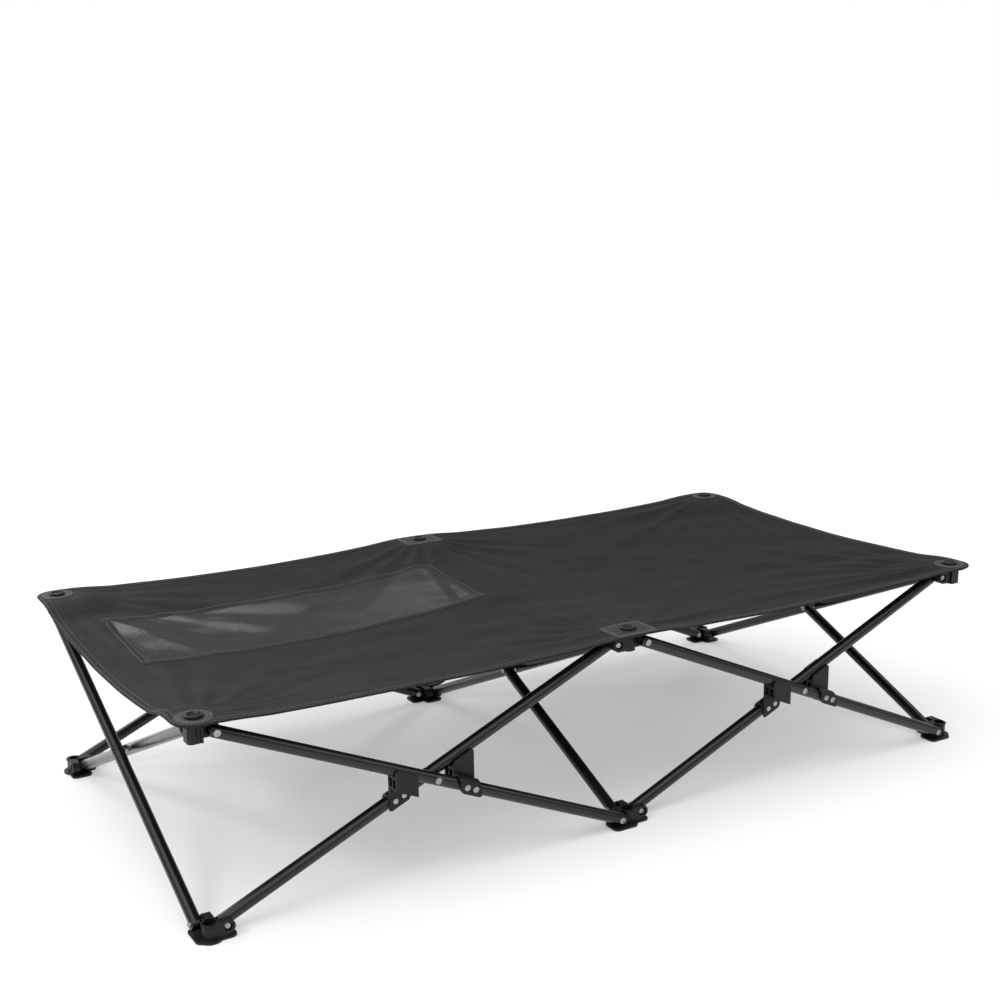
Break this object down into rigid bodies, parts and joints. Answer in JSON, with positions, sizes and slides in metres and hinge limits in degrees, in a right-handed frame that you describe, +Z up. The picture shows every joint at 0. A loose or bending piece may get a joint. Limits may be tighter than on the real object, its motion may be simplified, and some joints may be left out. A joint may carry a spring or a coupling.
{
  "type": "dog bed with frame",
  "caption": "Raised folding dog bed: a fabric sling clamped on the top hubs of a scissor frame of crossed tubes, with lock clips.",
  "frame": {"origin": "bottom centre of the bounding box, on the floor under the middle of the bed, with the bed open", "axes": "+X along the length of the bed, +Y across it towards the rear, +Z up"},
  "size_m": [1.256, 0.656, 0.2838],
  "materials": {
    "tube": "gloss black powder coat on steel tube",
    "rivet": "zinc-plated steel rivets",
    "hub": "black moulded nylon, satin",
    "clip": "black moulded nylon, satin",
    "cap": "black moulded nylon, satin",
    "sling": "charcoal coated polyester weave"
  },
  "bodies": {
    "foot_front_left": {"foot_front_left": "hub"},
    "foot_front_middle": {"foot_front_middle": "hub"},
    "foot_front_right": {"foot_front_right": "hub"},
    "foot_rear_left": {"foot_rear_left": "hub"},
    "foot_rear_middle": {"foot_rear_middle": "hub"},
    "foot_rear_right": {"foot_rear_right": "hub"},
    "top_hub_front_left": {"top_hub_front_left": "hub", "cap_front_left": "cap"},
    "top_hub_front_middle": {"top_hub_front_middle": "hub", "cap_front_middle": "cap", "sling_middle_strip": "sling"},
    "top_hub_front_right": {"top_hub_front_right": "hub", "cap_front_right": "cap"},
    "top_hub_rear_left": {"top_hub_rear_left": "hub", "cap_rear_left": "cap"},
    "top_hub_rear_middle": {"top_hub_rear_middle": "hub", "cap_rear_middle": "cap"},
    "top_hub_rear_right": {"top_hub_rear_right": "hub", "cap_rear_right": "cap"},
    "tube_front_left_outer": {"tube_front_left_outer": "tube", "rivets_front_left_outer": "rivet", "clip_front_left_outer": "clip"},
    "tube_front_left_inner": {"tube_front_left_inner": "tube", "rivets_front_left_inner": "rivet", "clip_front_left_inner": "clip"},
    "tube_front_right_outer": {"tube_front_right_outer": "tube", "rivets_front_right_outer": "rivet", "clip_front_right_outer": "clip"},
    "tube_front_right_inner": {"tube_front_right_inner": "tube", "rivets_front_right_inner": "rivet", "clip_front_right_inner": "clip"},
    "tube_rear_left_outer": {"tube_rear_left_outer": "tube", "rivets_rear_left_outer": "rivet", "clip_rear_left_outer": "clip"},
    "tube_rear_left_inner": {"tube_rear_left_inner": "tube", "rivets_rear_left_inner": "rivet", "clip_rear_left_inner": "clip"},
    "tube_rear_right_outer": {"tube_rear_right_outer": "tube", "rivets_rear_right_outer": "rivet", "clip_rear_right_outer": "clip"},
    "tube_rear_right_inner": {"tube_rear_right_inner": "tube", "rivets_rear_right_inner": "rivet", "clip_rear_right_inner": "clip"},
    "tube_left_end_outer": {"tube_left_end_outer": "tube", "rivets_left_end_outer": "rivet"},
    "tube_left_end_inner": {"tube_left_end_inner": "tube", "rivets_left_end_inner": "rivet"},
    "tube_middle_outer": {"tube_middle_outer": "tube", "rivets_middle_outer": "rivet"},
    "tube_middle_inner": {"tube_middle_inner": "tube", "rivets_middle_inner": "rivet"},
    "tube_right_end_outer": {"tube_right_end_outer": "tube", "rivets_right_end_outer": "rivet"},
    "tube_right_end_inner": {"tube_right_end_inner": "tube", "rivets_right_end_inner": "rivet"},
    "sling_left_outer": {"sling_left_outer": "sling"},
    "sling_left_inner": {"sling_left_inner": "sling"},
    "sling_right_inner": {"sling_right_inner": "sling"},
    "sling_right_outer": {"sling_right_outer": "sling"}
  },
  "joints": [
    {"name": "tube_middle_outer_on_foot_front_middle", "type": "hinge", "parent": "foot_front_middle", "child": "tube_middle_outer", "pos_m": [0, -0.28, 0.015], "axis": [1, 0, 0], "range_deg": [0, 58]},
    {"name": "top_hub_rear_middle_on_tube_middle_outer", "type": "hinge", "parent": "tube_middle_outer", "child": "top_hub_rear_middle", "pos_m": [0, 0.28, 0.262], "axis": [-1, 0, 0], "range_deg": [0, 58]},
    {"name": "middle_crossing", "type": "hinge", "parent": "tube_middle_outer", "child": "tube_middle_inner", "pos_m": [0, 0, 0.1385], "axis": [-1, 0, 0], "range_deg": [0, 116]},
    {"name": "top_hub_front_middle_on_tube_middle_inner", "type": "hinge", "parent": "tube_middle_inner", "child": "top_hub_front_middle", "pos_m": [0, -0.28, 0.262], "axis": [1, 0, 0], "range_deg": [0, 58], "deforming": ["sling_middle_strip"]},
    {"name": "foot_rear_middle_on_tube_middle_inner", "type": "hinge", "parent": "tube_middle_inner", "child": "foot_rear_middle", "pos_m": [0, 0.28, 0.015], "axis": [1, 0, 0], "range_deg": [0, 58]},
    {"name": "tube_front_left_outer_on_foot_front_middle", "type": "hinge", "parent": "foot_front_middle", "child": "tube_front_left_outer", "pos_m": [-0.02, -0.3, 0.015], "axis": [0, 1, 0], "range_deg": [0, 58]},
    {"name": "top_hub_front_left_on_tube_front_left_outer", "type": "hinge", "parent": "tube_front_left_outer", "child": "top_hub_front_left", "pos_m": [-0.58, -0.3, 0.262], "axis": [0, -1, 0], "range_deg": [0, 58]},
    {"name": "tube_left_end_inner_on_top_hub_front_left", "type": "hinge", "parent": "top_hub_front_left", "child": "tube_left_end_inner", "pos_m": [-0.6, -0.28, 0.262], "axis": [-1, 0, 0], "range_deg": [0, 58]},
    {"name": "foot_rear_left_on_tube_left_end_inner", "type": "hinge", "parent": "tube_left_end_inner", "child": "foot_rear_left", "pos_m": [-0.6, 0.28, 0.015], "axis": [1, 0, 0], "range_deg": [0, 58]},
    {"name": "tube_front_right_inner_on_foot_front_middle", "type": "hinge", "parent": "foot_front_middle", "child": "tube_front_right_inner", "pos_m": [0.02, -0.3, 0.015], "axis": [0, -1, 0], "range_deg": [0, 58]},
    {"name": "top_hub_front_right_on_tube_front_right_inner", "type": "hinge", "parent": "tube_front_right_inner", "child": "top_hub_front_right", "pos_m": [0.58, -0.3, 0.262], "axis": [0, 1, 0], "range_deg": [0, 58]},
    {"name": "tube_right_end_outer_on_top_hub_front_right", "type": "hinge", "parent": "top_hub_front_right", "child": "tube_right_end_outer", "pos_m": [0.6, -0.28, 0.262], "axis": [-1, 0, 0], "range_deg": [0, 58]},
    {"name": "foot_rear_right_on_tube_right_end_outer", "type": "hinge", "parent": "tube_right_end_outer", "child": "foot_rear_right", "pos_m": [0.6, 0.28, 0.015], "axis": [1, 0, 0], "range_deg": [0, 58]},
    {"name": "tube_rear_left_outer_on_top_hub_rear_middle", "type": "hinge", "parent": "top_hub_rear_middle", "child": "tube_rear_left_outer", "pos_m": [-0.02, 0.3, 0.262], "axis": [0, -1, 0], "range_deg": [0, 58]},
    {"name": "tube_rear_right_inner_on_top_hub_rear_middle", "type": "hinge", "parent": "top_hub_rear_middle", "child": "tube_rear_right_inner", "pos_m": [0.02, 0.3, 0.262], "axis": [0, 1, 0], "range_deg": [0, 58]},
    {"name": "tube_front_left_inner_on_top_hub_front_middle", "type": "hinge", "parent": "top_hub_front_middle", "child": "tube_front_left_inner", "pos_m": [-0.02, -0.3, 0.262], "axis": [0, -1, 0], "range_deg": [0, 58]},
    {"name": "foot_front_left_on_tube_front_left_inner", "type": "hinge", "parent": "tube_front_left_inner", "child": "foot_front_left", "pos_m": [-0.58, -0.3, 0.015], "axis": [0, 1, 0], "range_deg": [0, 58]},
    {"name": "tube_front_right_outer_on_top_hub_front_middle", "type": "hinge", "parent": "top_hub_front_middle", "child": "tube_front_right_outer", "pos_m": [0.02, -0.3, 0.262], "axis": [0, 1, 0], "range_deg": [0, 58]},
    {"name": "foot_front_right_on_tube_front_right_outer", "type": "hinge", "parent": "tube_front_right_outer", "child": "foot_front_right", "pos_m": [0.58, -0.3, 0.015], "axis": [0, -1, 0], "range_deg": [0, 58]},
    {"name": "tube_rear_left_inner_on_foot_rear_middle", "type": "hinge", "parent": "foot_rear_middle", "child": "tube_rear_left_inner", "pos_m": [-0.02, 0.3, 0.015], "axis": [0, 1, 0], "range_deg": [0, 58]},
    {"name": "top_hub_rear_left_on_tube_rear_left_inner", "type": "hinge", "parent": "tube_rear_left_inner", "child": "top_hub_rear_left", "pos_m": [-0.58, 0.3, 0.262], "axis": [0, -1, 0], "range_deg": [0, 58]},
    {"name": "tube_rear_right_outer_on_foot_rear_middle", "type": "hinge", "parent": "foot_rear_middle", "child": "tube_rear_right_outer", "pos_m": [0.02, 0.3, 0.015], "axis": [0, -1, 0], "range_deg": [0, 58]},
    {"name": "top_hub_rear_right_on_tube_rear_right_outer", "type": "hinge", "parent": "tube_rear_right_outer", "child": "top_hub_rear_right", "pos_m": [0.58, 0.3, 0.262], "axis": [0, 1, 0], "range_deg": [0, 58]},
    {"name": "tube_left_end_outer_on_top_hub_rear_left", "type": "hinge", "parent": "top_hub_rear_left", "child": "tube_left_end_outer", "pos_m": [-0.6, 0.28, 0.262], "axis": [1, 0, 0], "range_deg": [0, 58]},
    {"name": "tube_right_end_inner_on_top_hub_rear_right", "type": "hinge", "parent": "top_hub_rear_right", "child": "tube_right_end_inner", "pos_m": [0.6, 0.28, 0.262], "axis": [1, 0, 0], "range_deg": [0, 58]},
    {"name": "sling_left_outer_folds", "type": "hinge", "parent": "top_hub_front_left", "child": "sling_left_outer", "pos_m": [-0.572, 0, 0.2794], "axis": [0, 1, 0], "range_deg": [0, 82.5], "deforming": ["sling_left_outer"]},
    {"name": "sling_left_inner_folds", "type": "hinge", "parent": "top_hub_front_middle", "child": "sling_left_inner", "pos_m": [-0.028, 0, 0.2794], "axis": [0, -1, 0], "range_deg": [0, 82.5], "deforming": ["sling_left_inner"]},
    {"name": "sling_right_inner_folds", "type": "hinge", "parent": "top_hub_front_middle", "child": "sling_right_inner", "pos_m": [0.028, 0, 0.2794], "axis": [0, 1, 0], "range_deg": [0, 82.5], "deforming": ["sling_right_inner"]},
    {"name": "sling_right_outer_folds", "type": "hinge", "parent": "top_hub_front_right", "child": "sling_right_outer", "pos_m": [0.572, 0, 0.2794], "axis": [0, -1, 0], "range_deg": [0, 82.5], "deforming": ["sling_right_outer"]}
  ],
  "couplings": [
    {"joint": "top_hub_rear_middle_on_tube_middle_outer", "follows": "tube_middle_outer_on_foot_front_middle", "ratio": 1},
    {"joint": "middle_crossing", "follows": "tube_middle_outer_on_foot_front_middle", "ratio": 2},
    {"joint": "top_hub_front_middle_on_tube_middle_inner", "follows": "tube_middle_outer_on_foot_front_middle", "ratio": 1},
    {"joint": "foot_rear_middle_on_tube_middle_inner", "follows": "tube_middle_outer_on_foot_front_middle", "ratio": 1},
    {"joint": "tube_front_left_outer_on_foot_front_middle", "follows": "tube_middle_outer_on_foot_front_middle", "ratio": 1},
    {"joint": "top_hub_front_left_on_tube_front_left_outer", "follows": "tube_middle_outer_on_foot_front_middle", "ratio": 1},
    {"joint": "tube_left_end_inner_on_top_hub_front_left", "follows": "tube_middle_outer_on_foot_front_middle", "ratio": 1},
    {"joint": "foot_rear_left_on_tube_left_end_inner", "follows": "tube_middle_outer_on_foot_front_middle", "ratio": 1},
    {"joint": "tube_front_right_inner_on_foot_front_middle", "follows": "tube_middle_outer_on_foot_front_middle", "ratio": 1},
    {"joint": "top_hub_front_right_on_tube_front_right_inner", "follows": "tube_middle_outer_on_foot_front_middle", "ratio": 1},
    {"joint": "tube_right_end_outer_on_top_hub_front_right", "follows": "tube_middle_outer_on_foot_front_middle", "ratio": 1},
    {"joint": "foot_rear_right_on_tube_right_end_outer", "follows": "tube_middle_outer_on_foot_front_middle", "ratio": 1},
    {"joint": "tube_rear_left_outer_on_top_hub_rear_middle", "follows": "tube_middle_outer_on_foot_front_middle", "ratio": 1},
    {"joint": "tube_rear_right_inner_on_top_hub_rear_middle", "follows": "tube_middle_outer_on_foot_front_middle", "ratio": 1},
    {"joint": "tube_front_left_inner_on_top_hub_front_middle", "follows": "tube_middle_outer_on_foot_front_middle", "ratio": 1},
    {"joint": "foot_front_left_on_tube_front_left_inner", "follows": "tube_middle_outer_on_foot_front_middle", "ratio": 1},
    {"joint": "tube_front_right_outer_on_top_hub_front_middle", "follows": "tube_middle_outer_on_foot_front_middle", "ratio": 1},
    {"joint": "foot_front_right_on_tube_front_right_outer", "follows": "tube_middle_outer_on_foot_front_middle", "ratio": 1},
    {"joint": "tube_rear_left_inner_on_foot_rear_middle", "follows": "tube_middle_outer_on_foot_front_middle", "ratio": 1},
    {"joint": "top_hub_rear_left_on_tube_rear_left_inner", "follows": "tube_middle_outer_on_foot_front_middle", "ratio": 1},
    {"joint": "tube_rear_right_outer_on_foot_rear_middle", "follows": "tube_middle_outer_on_foot_front_middle", "ratio": 1},
    {"joint": "top_hub_rear_right_on_tube_rear_right_outer", "follows": "tube_middle_outer_on_foot_front_middle", "ratio": 1},
    {"joint": "tube_left_end_outer_on_top_hub_rear_left", "follows": "tube_middle_outer_on_foot_front_middle", "ratio": 1},
    {"joint": "tube_right_end_inner_on_top_hub_rear_right", "follows": "tube_middle_outer_on_foot_front_middle", "ratio": 1},
    {"joint": "sling_left_outer_folds", "follows": "tube_middle_outer_on_foot_front_middle", "ratio": 1.4219},
    {"joint": "sling_left_inner_folds", "follows": "tube_middle_outer_on_foot_front_middle", "ratio": 1.4219},
    {"joint": "sling_right_inner_folds", "follows": "tube_middle_outer_on_foot_front_middle", "ratio": 1.4219},
    {"joint": "sling_right_outer_folds", "follows": "tube_middle_outer_on_foot_front_middle", "ratio": 1.4219}
  ]
}
